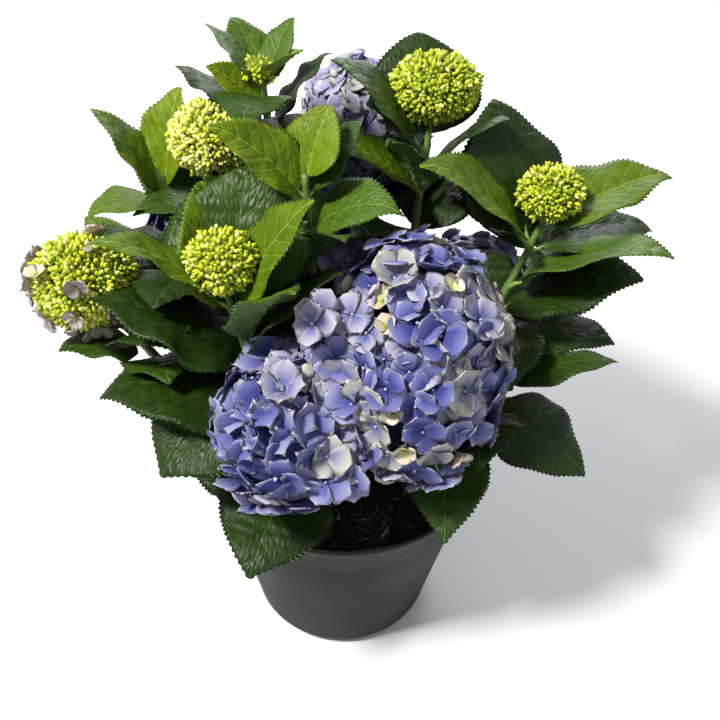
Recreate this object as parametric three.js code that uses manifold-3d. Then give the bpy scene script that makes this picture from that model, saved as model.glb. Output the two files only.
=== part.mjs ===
// A bigleaf hydrangea shrub growing in its nursery pot. Millimetres, +Z up.
// The origin is the middle of the pot's flat underside, and the shrub's best side faces -Y.
//
// The shrub is a clump of canes that rise from one woody crown. Each cane tapers, leans out from the
// clump and ends where its mass of leaves begins. The masses are cut round the flower heads, round the
// canes and round each other, with a hairline of air between neighbours.
import * as THREE from 'three';
import { mergeVertices } from 'three/addons/utils/BufferGeometryUtils.js';
import Module from 'manifold-3d';

const wasm = await Module();
wasm.setup();

// ---- driving dimensions ----------------------------------------------------------------------------
const RIM_RADIUS = 115;
const POT_HEIGHT = 170;
const BASE_RADIUS = 80;
const BAND_DEPTH = 28;
const BAND_STEP = 3.5;
const WALL = 2.5;
const FLOOR = 4;
const ROUND_SEGMENTS = 24;

const SOIL_LEVEL = 158;
const SOIL_DOME = 4;
const SOIL_LUMPS = 1.6;

const CROWN_CENTRE = [2, 10, SOIL_LEVEL];
const CROWN_SIZE = [44, 40, 20];

const CANE_FOOT_RADIUS = 5.2;
const CANE_TOP_RADIUS = 2.6;
const CANE_SIDES = 5;
const CANE_STEPS = 3;
const LIMB_TOP_STEPS = 2;
const OUTWARD_AT_MIDDLE = 0.62;
const UPWARD_AT_MIDDLE = 0.45;

const LEAF_STEPS = 4;
const LEAF_THICKNESS = 5;
const PETIOLE_SHARE = 0.12;
const BROADEST_POWER = 0.8;
const SHOULDER_POWER = 0.75;
const PAIR_WIDTH_RATIO = 0.68;
const PAIR_DROOP = 45;

const HEAD_LUMPS = 0.05;
const AIR_GAP = 0.35;
const EDGE_GAP_RATIO = 3;

// ---- the shoots ------------------------------------------------------------------------------------
// foot: [x, y] where the cane leaves the crown. tip: where the shoot ends, under its flower head.
// leaves: [place along the shoot, azimuth, rise, length, width, droop, roll], angles in degrees.
// pairs: two like leaves on opposite sides, [place along the shoot, azimuth, rise, length].
// Azimuth is counted from +X towards +Y. Rise is the slope from a leaf's foot to its tip.
const SHOOTS = {
  front_right: {
    foot: [18, -14], tip: [48, -46, 258],
    leaves: [],
    pairs: [[0.55, 20, 10, 95], [0.85, -80, 5, 70]],
  },
  front_left: {
    foot: [-30, -28], tip: [-42, -62, 222],
    leaves: [[0.32, -109, -4, 96, 84, 50, 0], [0.35, 165, 0, 100, 84, 40, 0]],
    pairs: [[0.80, -30, 10, 70]],
  },
  middle: {
    foot: [-8, 10], tip: [-17, 50, 290],
    leaves: [],
    pairs: [[0.75, 160, 30, 80]],
  },
  back: {
    foot: [4, 34], tip: [9, 128, 350],
    leaves: [],
    pairs: [[0.82, 30, 25, 100], [0.60, 110, 12, 115]],
  },
  top_right: {
    foot: [30, 28], tip: [60, 98, 408],
    leaves: [
      [0.92, 93, 58, 92, 84, 25, 0],
      [0.90, -168, 46, 106, 56, 35, -25],
      [0.80, -127, 54, 70, 44, 30, 0],
      [0.84, -22, 44, 84, 66, 40, 0],
    ],
    pairs: [],
  },
  right: {
    foot: [46, 8], tip: [143, 45, 352],
    leaves: [
      [0.60, -20, 6, 98, 64, 30, 0],
      [0.65, -20, 30, 116, 80, 40, 0],
      [0.75, -38, 34, 134, 70, 30, 0],
      [0.88, 5, 14, 98, 74, 40, 0],
      [0.95, 10, 24, 110, 60, 35, 0],
      [0.90, 122, 56, 116, 104, 25, 0],
      [0.90, -160, 40, 122, 66, 35, -20],
    ],
    pairs: [],
  },
  upper_left: {
    foot: [-32, 24], tip: [-93, 50, 384],
    leaves: [[0.88, 30, 40, 80, 52, 30, 0], [0.88, -150, 10, 70, 50, 50, 0]],
    pairs: [[0.75, 100, 30, 95]],
  },
  left_fan: {
    foot: [-46, 14], tip: [-136, 56, 366],
    leaves: [
      [0.97, 47, 74, 84, 56, 20, 0],
      [0.94, 173, 60, 86, 44, 25, 0],
      [0.92, -140, 16, 66, 56, 45, 0],
      [0.80, -178, 8, 80, 38, 30, 0],
    ],
    pairs: [],
  },
  top: {
    foot: [-18, 20], tip: [-60, 62, 445],
    leaves: [
      [0.97, 170, 48, 56, 38, 25, 0],
      [0.97, 120, 45, 60, 40, 20, 0],
      [0.97, 50, 57, 54, 34, 20, 0],
      [0.88, 168, 32, 78, 46, 30, 0],
      [0.88, 12, 52, 72, 44, 30, 0],
    ],
    pairs: [],
  },
  front_middle: {
    foot: [-34, -10], tip: [-77, -48, 345],
    leaves: [
      [0.88, 86, 62, 104, 96, 25, 0],
      [0.90, -16, 58, 108, 54, 20, 0],
      [0.62, -178, 32, 124, 84, 40, 0],
      [0.45, -166, 18, 122, 96, 40, 0],
      [0.58, -132, -18, 94, 110, 40, 0],
    ],
    pairs: [],
  },
  left: {
    foot: [-50, 2], tip: [-172, 2, 295],
    leaves: [[0.80, -144, 18, 62, 58, 30, 0], [0.70, -70, 26, 78, 56, 40, 0]],
    pairs: [[0.80, 115, 30, 95]],
  },
  centre: {
    foot: [-6, 4], tip: [-29, 5, 400],
    leaves: [
      [0.93, -164, 48, 86, 44, 30, 0],
      [0.97, 50, 66, 56, 46, 20, 0],
      [0.75, -66, 42, 72, 48, 40, 0],
    ],
    pairs: [[0.58, 20, 25, 85]],
  },
  low_right: {
    foot: [46, -14], tip: [112, -24, 255],
    leaves: [
      [0.42, -95, -4, 96, 66, 50, 0],
      [0.80, -36, -14, 92, 84, 42, 0],
      [0.60, -5, -8, 84, 56, 40, 0],
      [0.97, -4, 20, 90, 44, 30, 0],
    ],
    pairs: [[0.70, 80, 15, 95]],
  },
  back_left: {
    foot: [-30, 44], tip: [-110, 125, 262],
    leaves: [],
    pairs: [[0.85, 160, 10, 110], [0.80, 70, 6, 105]],
  },
  back_right: {
    foot: [40, 44], tip: [100, 112, 222],
    leaves: [],
    pairs: [[0.85, 0, 8, 110], [0.80, 90, 4, 105]],
  },
  rear: {
    foot: [-4, 56], tip: [-35, 168, 290],
    leaves: [],
    pairs: [[0.90, 150, 30, 100], [0.72, 70, 10, 110]],
  },
  right_rear: {
    foot: [52, 28], tip: [165, 105, 300],
    leaves: [],
    pairs: [[0.92, 110, 28, 100], [0.75, 20, 12, 110]],
  },
  left_rear: {
    foot: [-52, 30], tip: [-180, 90, 270],
    leaves: [],
    pairs: [[0.92, 70, 25, 95], [0.75, 160, 12, 105]],
  },
};

// Flower heads: centre, half sizes [across, upward, deep] and the backward lean of the upward axis.
const MOPHEADS = {
  front_right: { centre: [46, -58, 302], size: [62, 83, 60], lean: 35 },
  front_left: { centre: [-41, -84, 264], size: [48, 60, 50], lean: 35 },
  middle: { centre: [-18, 52, 322], size: [48, 46, 42], lean: 0 },
  back: { centre: [10, 150, 384], size: [52, 52, 44], lean: 0 },
  back_left: { centre: [-118, 136, 292], size: [54, 50, 46], lean: -20 },
  back_right: { centre: [112, 122, 250], size: [52, 48, 44], lean: -20 },
};
const BUD_HEADS = {
  top_right: { centre: [62, 108, 428], size: [37, 27, 37], lean: 0 },
  right: { centre: [145, 46, 374], size: [27, 22, 27], lean: 0 },
  upper_left: { centre: [-93, 46, 408], size: [34, 27, 34], lean: 0 },
  front_middle: { centre: [-77, -50, 366], size: [25, 22, 25], lean: 0 },
  left: { centre: [-184, 0, 320], size: [40, 36, 40], lean: 15 },
  top: { centre: [-62, 66, 448], size: [16, 10, 16], lean: 0 },
  rear: { centre: [-38, 178, 308], size: [30, 24, 30], lean: 0 },
};

// ---- finishes --------------------------------------------------------------------------------------
const FINISHES = {
  plastic: { color: 0x43484b, roughness: 0.45 },
  soil: { color: 0x1d130d, roughness: 0.95 },
  wood: { color: 0x6b5a3c, roughness: 0.8 },
  leaf: { color: 0x2c5a2b, roughness: 0.5 },
  blue: { color: 0x8288d8, roughness: 0.7 },
  bud: { color: 0xc3d13c, roughness: 0.7 },
};

// ---- making solids ---------------------------------------------------------------------------------
const radians = THREE.MathUtils.degToRad;

// A repeatable unevenness between -1 and 1, the same on every run.
function unevenness(index) {
  const wave = Math.sin(index * 12.9898 + 4.1414) * 43758.5453;
  return 2 * (wave - Math.floor(wave)) - 1;
}

// A closed geometry as a solid whose faces point out.
function solidOf(geometry) {
  geometry.deleteAttribute('normal');
  geometry.deleteAttribute('uv');
  const merged = mergeVertices(geometry, 1e-3);
  const vertProperties = Float32Array.from(merged.attributes.position.array);
  const corners = Array.from(merged.index.array);
  const whole = [];
  let volume = 0;
  const point = (corner) => new THREE.Vector3().fromArray(vertProperties, 3 * corner);
  for (let i = 0; i < corners.length; i += 3) {
    const [a, b, c] = corners.slice(i, i + 3);
    if (a === b || b === c || c === a) continue;
    whole.push([a, b, c]);
    volume += point(a).dot(point(b).cross(point(c)));
  }
  const outward = volume > 0 ? whole : whole.map(([a, b, c]) => [a, c, b]);
  const triVerts = Uint32Array.from(outward.flat());
  return new wasm.Manifold(new wasm.Mesh({ numProp: 3, vertProperties, triVerts }));
}

function meshOf(solid, name, finish) {
  const cut = solid.getMesh();
  const geometry = new THREE.BufferGeometry();
  geometry.setAttribute('position', new THREE.BufferAttribute(cut.vertProperties, 3));
  geometry.setIndex(new THREE.BufferAttribute(cut.triVerts, 1));
  geometry.computeVertexNormals();
  const material = new THREE.MeshStandardMaterial({ ...FINISHES[finish], metalness: 0 });
  const mesh = new THREE.Mesh(geometry, material);
  mesh.name = name;
  return mesh;
}

// A round solid turned about the vertical axis from its profile of [radius, height] points.
function turned(profile, shapePoint = (point) => point) {
  const geometry = new THREE.LatheGeometry(profile.map(([r, z]) => new THREE.Vector2(r, z)), ROUND_SEGMENTS);
  geometry.rotateX(Math.PI / 2);
  return shaped(geometry, shapePoint);
}

// Every vertex of a geometry moved to the place that a function gives it.
function shaped(geometry, place) {
  const position = geometry.attributes.position;
  const point = new THREE.Vector3();
  for (let i = 0; i < position.count; i += 1) {
    point.fromBufferAttribute(position, i);
    const moved = place(point);
    position.setXYZ(i, moved.x, moved.y, moved.z);
  }
  return solidOf(geometry);
}

// ---- pot and soil ----------------------------------------------------------------------------------
const BAND_FOOT = POT_HEIGHT - BAND_DEPTH;
const WALL_TOP_RADIUS = RIM_RADIUS - BAND_STEP - 5.5;
const BAND_FOOT_RADIUS = WALL_TOP_RADIUS + BAND_STEP;

const pot = turned([
  [0, 0],
  [BASE_RADIUS - 10, 0],
  [BASE_RADIUS - 3, 2],
  [BASE_RADIUS, 7],
  [WALL_TOP_RADIUS, BAND_FOOT - 1],
  [BAND_FOOT_RADIUS, BAND_FOOT],
  [RIM_RADIUS - 0.5, POT_HEIGHT - 2],
  [RIM_RADIUS - 1.5, POT_HEIGHT],
  [RIM_RADIUS - WALL - 0.5, POT_HEIGHT - 1],
  [BAND_FOOT_RADIUS - WALL, BAND_FOOT + 2],
  [WALL_TOP_RADIUS - WALL, BAND_FOOT - 4],
  [BASE_RADIUS - WALL, 9],
  [BASE_RADIUS - 9, FLOOR],
  [0, FLOOR],
]);

function soilSolid(gap) {
  const side = WALL + 0.6 - gap;
  const rimShare = (SOIL_LEVEL - BAND_FOOT) / BAND_DEPTH;
  const topRadius = BAND_FOOT_RADIUS + rimShare * (RIM_RADIUS - BAND_FOOT_RADIUS) - side - 0.6;
  const profile = [
    [0, FLOOR + 0.5 - gap],
    [BASE_RADIUS - 10, FLOOR + 0.5 - gap],
    [BASE_RADIUS - side, 10],
    [WALL_TOP_RADIUS - side, BAND_FOOT - 4],
    [BAND_FOOT_RADIUS - side - 0.4, BAND_FOOT + 3],
    [topRadius, SOIL_LEVEL - SOIL_DOME + gap],
    [topRadius * 0.6, SOIL_LEVEL - 1 + gap],
    [0, SOIL_LEVEL + gap],
  ];
  const lumpy = (point) => {
    const radius = Math.hypot(point.x, point.y);
    if (point.z < BAND_FOOT + 6 || radius > topRadius - 1 || radius < 1) return point;
    const sector = Math.round(Math.atan2(point.y, point.x) * ROUND_SEGMENTS / (2 * Math.PI));
    const key = sector + Math.round(100 * radius / topRadius);
    return new THREE.Vector3(point.x, point.y, point.z + SOIL_LUMPS * unevenness(key));
  };
  return turned(profile, lumpy);
}

// ---- woody crown -----------------------------------------------------------------------------------
function crownSolid(gap) {
  const [width, depth, height] = CROWN_SIZE.map((size) => size + gap);
  return shaped(new THREE.SphereGeometry(1, 9, 6), (point) => {
    const key = Math.round(point.x * 40) * 3 + Math.round(point.z * 40) * 7 + Math.round(point.y * 40);
    const swell = 1 + 0.09 * unevenness(key);
    return new THREE.Vector3(
      CROWN_CENTRE[0] + width * swell * point.x,
      CROWN_CENTRE[1] - depth * swell * point.z,
      CROWN_CENTRE[2] + height * swell * point.y,
    );
  });
}

// ---- canes -----------------------------------------------------------------------------------------
// A cane leaves the crown leaning out and bends upward, on one smooth curve.
function caneCurve({ foot, tip }) {
  const start = new THREE.Vector3(foot[0], foot[1], SOIL_LEVEL - 6);
  const end = new THREE.Vector3(...tip);
  const middle = new THREE.Vector3(
    start.x + OUTWARD_AT_MIDDLE * (end.x - start.x),
    start.y + OUTWARD_AT_MIDDLE * (end.y - start.y),
    start.z + UPWARD_AT_MIDDLE * (end.z - start.z),
  );
  return new THREE.QuadraticBezierCurve3(start, middle, end);
}

// A stretch of a shoot's limb: a cylinder bent onto the curve, thinner towards the tip.
function limb(curve, from, to, steps, gap) {
  const geometry = new THREE.CylinderGeometry(1, 1, 1, CANE_SIDES, steps);
  const aside = new THREE.Vector3(0.31, 1, 0.17);
  return shaped(geometry, (point) => {
    const along = from + (to - from) * (point.y + 0.5);
    const radius = gap + THREE.MathUtils.lerp(CANE_FOOT_RADIUS, CANE_TOP_RADIUS, along);
    const tangent = curve.getTangent(along);
    const side = new THREE.Vector3().crossVectors(tangent, aside).normalize();
    const front = new THREE.Vector3().crossVectors(side, tangent);
    return curve.getPoint(along)
      .addScaledVector(side, radius * point.x)
      .addScaledVector(front, radius * point.z);
  });
}

// ---- leaves ----------------------------------------------------------------------------------------
// Half the width of a leaf, as a share of its greatest half width: a thin stalk, then a broad oval.
function leafOutline(share) {
  const blade = (share - PETIOLE_SHARE) / (1 - PETIOLE_SHARE);
  if (blade <= 0 || blade >= 1) return 0;
  return Math.sin(Math.PI * blade ** BROADEST_POWER) ** SHOULDER_POWER;
}

// One leaf as a thin lens: its midrib is an arc in an upright plane, and it is sharp at the edges.
function leafSolid(curve, [place, azimuth, rise, length, width, droop, roll], gap) {
  const foot = curve.getPoint(place);
  const heading = radians(azimuth);
  const bend = radians(droop);
  const out = new THREE.Vector3(Math.cos(heading), Math.sin(heading), 0);
  const up = new THREE.Vector3(0, 0, 1);
  const level = new THREE.Vector3(-out.y, out.x, 0);
  const turn = radians(roll);
  const arc = length * (bend / 2) / Math.sin(bend / 2);
  const startSlope = radians(rise) + bend / 2;
  const arcRadius = arc / bend;
  return shaped(new THREE.SphereGeometry(1, 4, LEAF_STEPS), (point) => {
    const share = Math.acos(THREE.MathUtils.clamp(point.y, -1, 1)) / Math.PI;
    const ring = Math.hypot(point.x, point.z);
    const slope = startSlope - bend * share;
    const normal = up.clone().multiplyScalar(Math.cos(slope)).addScaledVector(out, -Math.sin(slope));
    const across = level.clone().multiplyScalar(Math.cos(turn)).addScaledVector(normal, Math.sin(turn));
    const face = normal.clone().multiplyScalar(Math.cos(turn)).addScaledVector(level, -Math.sin(turn));
    const halfWidth = EDGE_GAP_RATIO * gap + 1.5 + (width / 2 - 1.5) * leafOutline(share);
    const halfThick = gap + LEAF_THICKNESS / 2 * Math.sin(Math.PI * share) ** 0.5;
    const forward = arcRadius * (Math.sin(startSlope) - Math.sin(slope));
    const lift = arcRadius * (Math.cos(slope) - Math.cos(startSlope));
    const spot = foot.clone().addScaledVector(out, forward).addScaledVector(up, lift);
    const beyondTip = share > 0.99 ? gap : 0;
    spot.addScaledVector(out, beyondTip * Math.cos(slope)).addScaledVector(up, beyondTip * Math.sin(slope));
    if (ring < 1e-6) return spot;
    return spot
      .addScaledVector(across, halfWidth * point.x / ring)
      .addScaledVector(face, halfThick * point.z / ring);
  });
}

function leavesOf({ leaves, pairs }) {
  const opposite = pairs.flatMap(([place, azimuth, rise, length]) => [0, 180].map((turn) => [
    place, azimuth + turn, rise, length, length * PAIR_WIDTH_RATIO, PAIR_DROOP, 0,
  ]));
  return [...leaves, ...opposite];
}

// The mass of leaves of one shoot, joined by the top of the limb that carries them.
function foliage(shoot, gap) {
  const curve = caneCurve(shoot);
  const leaves = leavesOf(shoot);
  const lowest = Math.min(...leaves.map(([place]) => place));
  const start = lowest - 0.03;
  let mass = limb(curve, start, 1, LIMB_TOP_STEPS, gap);
  for (const leaf of leaves) mass = mass.add(leafSolid(curve, leaf, gap));
  return { mass, start };
}

// ---- flower heads ----------------------------------------------------------------------------------
function headSolid({ centre, size, lean }, around, rings, gap) {
  const tilt = radians(lean);
  const middle = new THREE.Vector3(...centre);
  return shaped(new THREE.SphereGeometry(1, around, rings), (point) => {
    const key = Math.round(point.x * 50) + Math.round(point.z * 50) * 5 + Math.round(point.y * 50) * 11;
    const swell = 1 + HEAD_LUMPS * unevenness(key);
    const across = (size[0] + gap) * swell * point.x;
    const tall = (size[1] + gap) * swell * point.y;
    const deep = (size[2] + gap) * swell * -point.z;
    const turnedPoint = new THREE.Vector3(across, deep, tall);
    turnedPoint.applyAxisAngle(new THREE.Vector3(1, 0, 0), -tilt);
    return turnedPoint.add(middle);
  });
}

// ---- assembly --------------------------------------------------------------------------------------
// Solids are placed in turn. Each is cut by its neighbours, grown by the gap, and keeps its main body.
const group = new THREE.Group();
const placed = [];

function mainBody(solid) {
  const bodies = solid.decompose();
  return bodies.reduce((best, body) => (body.volume() > best.volume() ? body : best));
}

function place(name, finish, make) {
  let solid = make(0);
  const box = solid.boundingBox();
  for (const neighbour of placed) {
    const apart = [0, 1, 2].some((axis) => (
      neighbour.box.min[axis] > box.max[axis] || neighbour.box.max[axis] < box.min[axis]
    ));
    if (!apart) solid = solid.subtract(neighbour.grown);
  }
  const body = mainBody(solid);
  const grown = make(AIR_GAP);
  placed.push({ grown, box: grown.boundingBox() });
  group.add(meshOf(body, name, finish));
}

group.add(meshOf(pot, 'pot', 'plastic'));
place('potting_bark', 'soil', soilSolid);
place('woody_crown', 'wood', crownSolid);
for (const [name, head] of Object.entries(MOPHEADS)) {
  place(`mophead_${name}`, 'blue', (gap) => headSolid(head, 11, 7, gap));
}
for (const [name, head] of Object.entries(BUD_HEADS)) {
  place(`buds_${name}`, 'bud', (gap) => headSolid(head, 8, 5, gap));
}
for (const [name, shoot] of Object.entries(SHOOTS)) {
  const top = foliage(shoot, 0).start - 0.004;
  place(`cane_${name}`, 'wood', (gap) => limb(caneCurve(shoot), 0, top + gap / 1000, CANE_STEPS, gap));
}
for (const [name, shoot] of Object.entries(SHOOTS)) {
  place(`foliage_${name}`, 'leaf', (gap) => foliage(shoot, gap).mass);
}

export default group;
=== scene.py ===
import math

import bpy
import numpy as np
from mathutils import Matrix, Vector
from mathutils.bvhtree import BVHTree


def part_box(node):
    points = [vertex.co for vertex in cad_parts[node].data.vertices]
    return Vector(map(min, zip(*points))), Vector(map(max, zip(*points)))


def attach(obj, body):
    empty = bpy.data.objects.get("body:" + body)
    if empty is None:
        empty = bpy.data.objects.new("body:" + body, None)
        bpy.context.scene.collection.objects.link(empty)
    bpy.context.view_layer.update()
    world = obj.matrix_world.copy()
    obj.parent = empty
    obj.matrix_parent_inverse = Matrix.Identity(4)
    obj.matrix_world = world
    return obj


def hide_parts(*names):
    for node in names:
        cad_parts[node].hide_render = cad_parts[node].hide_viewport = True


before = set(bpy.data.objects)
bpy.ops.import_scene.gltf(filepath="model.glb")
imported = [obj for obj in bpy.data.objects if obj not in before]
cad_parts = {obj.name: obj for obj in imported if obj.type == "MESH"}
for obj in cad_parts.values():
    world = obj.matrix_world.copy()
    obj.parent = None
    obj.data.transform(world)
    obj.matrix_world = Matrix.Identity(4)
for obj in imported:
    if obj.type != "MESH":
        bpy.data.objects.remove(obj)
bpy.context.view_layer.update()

scene = bpy.context.scene
MM = 0.001

# ---- Camera, floor and light -----------------------------------------------------------------------
# The shrub stands on a plain pale floor and is seen from in front and well above, as a person sees a
# pot at their feet. One large soft lamp up on the left is the sun's side, and two weak ones fill in.
CAMERA_PLACE = (0.0, -0.440, 0.583)
CAMERA_PITCH = 36.7
CAMERA_HEADING = 1.4
CAMERA_ROLL = 1.9

camera_data = bpy.data.cameras.new("camera")
camera_data.lens = 36.0
camera_data.sensor_width = 36.0
camera_data.clip_start = 0.01
camera = bpy.data.objects.new("camera", camera_data)
scene.collection.objects.link(camera)
aim = (
    Matrix.Rotation(math.radians(-CAMERA_HEADING), 4, "Z")
    @ Matrix.Rotation(math.radians(90.0 - CAMERA_PITCH), 4, "X")
    @ Matrix.Rotation(math.radians(CAMERA_ROLL), 4, "Z")
)
camera.matrix_world = Matrix.Translation(CAMERA_PLACE) @ aim
scene.camera = camera
scene.view_settings.view_transform = "Standard"

bpy.ops.object.select_all(action="DESELECT")
bpy.ops.mesh.primitive_plane_add(size=9.0, location=(0.0, 0.0, -0.0004))
floor = bpy.context.object
floor.name = "floor"
floor_finish = bpy.data.materials.new("pale_floor")
floor_finish.use_nodes = True
floor_shader = floor_finish.node_tree.nodes["Principled BSDF"]
floor_shader.inputs["Base Color"].default_value = (0.66, 0.66, 0.66, 1.0)
floor_shader.inputs["Roughness"].default_value = 0.9
floor_shader.inputs["Specular IOR Level"].default_value = 0.1
floor.data.materials.append(floor_finish)


def add_lamp(name, place, target, size, watts, colour):
    lamp_data = bpy.data.lights.new(name, "AREA")
    lamp_data.shape = "DISK"
    lamp_data.size = size
    lamp_data.energy = watts
    lamp_data.color = colour
    lamp = bpy.data.objects.new(name, lamp_data)
    scene.collection.objects.link(lamp)
    lamp.location = place
    lamp.rotation_euler = (Vector(target) - Vector(place)).to_track_quat("-Z", "Y").to_euler()


MIDDLE_OF_CROWN = (0.0, 0.0, 0.30)
add_lamp("sun_side", (-0.95, -0.60, 1.75), MIDDLE_OF_CROWN, 0.34, 66.0, (1.0, 0.965, 0.90))
add_lamp("sky_side", (1.3, -1.5, 1.3), MIDDLE_OF_CROWN, 1.6, 8.0, (0.86, 0.92, 1.0))
add_lamp("back_side", (0.5, 1.7, 1.3), MIDDLE_OF_CROWN, 1.4, 14.0, (0.92, 0.96, 1.0))
add_lamp("far_floor", (0.0, 2.6, 1.5), (0.0, 2.9, 0.0), 2.0, 95.0, (1.0, 1.0, 1.0))

surround = bpy.data.worlds.new("pale_surround")
surround.use_nodes = True
surround.node_tree.nodes["Background"].inputs["Color"].default_value = (0.90, 0.94, 1.0, 1.0)
surround.node_tree.nodes["Background"].inputs["Strength"].default_value = 0.42
scene.world = surround

# ---- Pot --------------------------------------------------------------------------------------------
# A thin-walled nursery pot, moulded in one piece from dark grey recycled plastic. Its wall flares a
# little, a deeper band stiffens the rim, and the foot is rounded where it meets the flat underside.
POT_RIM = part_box("pot")[1].x
POT_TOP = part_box("pot")[1].z
POT_FOOT = 0.080
FOOT_ROUND = 0.012
FOOT_STEPS = 6
POT_BAND = 0.028
POT_WALL = 0.0025
POT_STEP = 0.0022
POT_SIDES = 128
POT_GREY = (0.0058, 0.0078, 0.0087)
POT_DUST = (0.14, 0.135, 0.125)


def add_node(tree, kind, values=None, **settings):
    """A node in a shader tree, with its settings, its plain values and its links in one call."""
    made = tree.nodes.new("ShaderNode" + kind)
    for name, value in settings.items():
        setattr(made, name, value)
    for socket, value in (values or {}).items():
        if isinstance(value, bpy.types.NodeSocket):
            tree.links.new(value, made.inputs[socket])
        else:
            made.inputs[socket].default_value = value
    return made


def new_finish(name):
    """An empty node material, its tree and its Principled shader."""
    finish = bpy.data.materials.new(name)
    finish.use_nodes = True
    return finish, finish.node_tree, finish.node_tree.nodes["Principled BSDF"]


def rgba(colour):
    return (*colour, 1.0)


def blended(tree, share, low, high):
    """A colour between two others, by a share that changes over the surface."""
    mix = add_node(tree, "Mix", data_type="RGBA")
    tree.links.new(share, mix.inputs["Factor"])
    for socket, value in (("A", low), ("B", high)):
        target = next(s for s in mix.inputs if s.name == socket and s.type == "RGBA")
        if isinstance(value, bpy.types.NodeSocket):
            tree.links.new(value, target)
        else:
            target.default_value = rgba(value)
    return next(s for s in mix.outputs if s.type == "RGBA")


def stretched(tree, value, low, high, to_low=0.0, to_high=1.0):
    """A value's stretch from low to high, made to run from to_low to to_high."""
    values = {"Value": value, "From Min": low, "From Max": high, "To Min": to_low, "To Max": to_high}
    return add_node(tree, "MapRange", values).outputs["Result"]


def noise(tree, place, scale, detail=3.0, roughness=0.5):
    values = {"Vector": place, "Scale": scale, "Detail": detail, "Roughness": roughness}
    return add_node(tree, "TexNoise", values).outputs["Fac"]


def bumped(tree, height, distance, strength=1.0):
    values = {"Height": height, "Distance": distance, "Strength": strength}
    return add_node(tree, "Bump", values).outputs["Normal"]


bpy.ops.object.select_all(action="DESELECT")
bpy.ops.mesh.primitive_circle_add(vertices=POT_SIDES, radius=POT_FOOT - FOOT_ROUND, fill_type="NGON")
pot = bpy.context.object
pot.name = "nursery_pot"
bpy.ops.object.mode_set(mode="EDIT")
bpy.ops.mesh.select_all(action="SELECT")


def draw_ring(height, old_radius, new_radius, old_height):
    """Pulls the open edge of a turned wall on to its next height and radius."""
    bpy.ops.mesh.extrude_edges_move(TRANSFORM_OT_translate={"value": (0, 0, height - old_height)})
    grown = new_radius / old_radius
    bpy.ops.transform.resize(value=(grown, grown, 1.0), center_override=(0.0, 0.0, height))


band_foot = POT_TOP - POT_BAND
wall_top = POT_RIM - POT_STEP - 0.0065
pot_profile = [(POT_FOOT - FOOT_ROUND, 0.0)]
for step in range(1, FOOT_STEPS + 1):
    turn = math.radians(90.0 * step / FOOT_STEPS)
    pot_profile.append((
        POT_FOOT - FOOT_ROUND + FOOT_ROUND * math.sin(turn), FOOT_ROUND * (1.0 - math.cos(turn)),
    ))
pot_profile += [
    (POT_FOOT + 0.0035, 0.030),
    (POT_FOOT + 0.0145, 0.085),
    (wall_top - 0.0007, band_foot - 0.0050),
    (wall_top, band_foot - 0.0016),
    (wall_top + 0.0006, band_foot - 0.0007),
    (wall_top + POT_STEP - 0.0010, band_foot + 0.0003),
    (wall_top + POT_STEP, band_foot + 0.0014),
    (wall_top + POT_STEP + 0.0013, band_foot + 0.0080),
    (POT_RIM - 0.0018, POT_TOP - 0.0062),
    (POT_RIM - 0.0006, POT_TOP - 0.0046),
    (POT_RIM, POT_TOP - 0.0026),
    (POT_RIM - 0.0003, POT_TOP - 0.0008),
    (POT_RIM - 0.0014, POT_TOP),
    (POT_RIM - 0.0028, POT_TOP - 0.0005),
    (POT_RIM - POT_WALL - 0.0010, POT_TOP - 0.0022),
    (POT_RIM - POT_WALL - 0.0020, POT_TOP - 0.0080),
    (wall_top + POT_STEP - POT_WALL, band_foot + 0.0030),
    (wall_top - POT_WALL, band_foot - 0.0040),
    (POT_FOOT - POT_WALL, 0.0100),
    (POT_FOOT - FOOT_ROUND, 0.0040),
]
for (old_radius, old_height), (radius, height) in zip(pot_profile, pot_profile[1:]):
    draw_ring(height, old_radius, radius, old_height)
bpy.ops.mesh.edge_face_add()
bpy.ops.mesh.select_all(action="SELECT")
bpy.ops.mesh.normals_make_consistent(inside=False)
bpy.ops.object.mode_set(mode="OBJECT")
bpy.ops.object.shade_smooth_by_angle(angle=math.radians(50.0))

pot_finish, tree, shader = new_finish("recycled_grey_plastic")
spot = add_node(tree, "TexCoord").outputs["Object"]
cloud = noise(tree, spot, 14.0, 4.0, 0.6)
grain = noise(tree, spot, 900.0, 2.0)
# The faint vertical streaks below, which lighten the grey, are painted reflections running down the wall.
drawn = add_node(tree, "Mapping", {"Vector": spot, "Scale": (1.0, 1.0, 0.12)}).outputs["Vector"]
streak = noise(tree, drawn, 60.0, 3.0, 0.6)
speck = add_node(tree, "TexVoronoi", {"Vector": spot, "Scale": 95.0, "Randomness": 1.0})
few = stretched(tree, noise(tree, spot, 31.0, 1.0), 0.60, 0.63)
near = stretched(tree, speck.outputs["Distance"], 0.10, 0.04)
dust = add_node(tree, "Math", {0: few, 1: near}, operation="MULTIPLY", use_clamp=True).outputs["Value"]
grey = blended(tree, stretched(tree, cloud, 0.35, 0.7), POT_GREY, tuple(1.28 * c for c in POT_GREY))
# Painted reflection: the streaks lighten the grey by up to half.
grey = blended(tree, stretched(tree, streak, 0.55, 0.85, 0.0, 0.5), grey, tuple(1.5 * c for c in POT_GREY))
tree.links.new(blended(tree, dust, grey, POT_DUST), shader.inputs["Base Color"])
tree.links.new(stretched(tree, cloud, 0.3, 0.7, 0.46, 0.62), shader.inputs["Roughness"])
tree.links.new(bumped(tree, grain, 0.00012, 0.35), shader.inputs["Normal"])
shader.inputs["Specular IOR Level"].default_value = 0.20
pot.data.materials.append(pot_finish)
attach(pot, "root")
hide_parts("pot")

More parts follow.
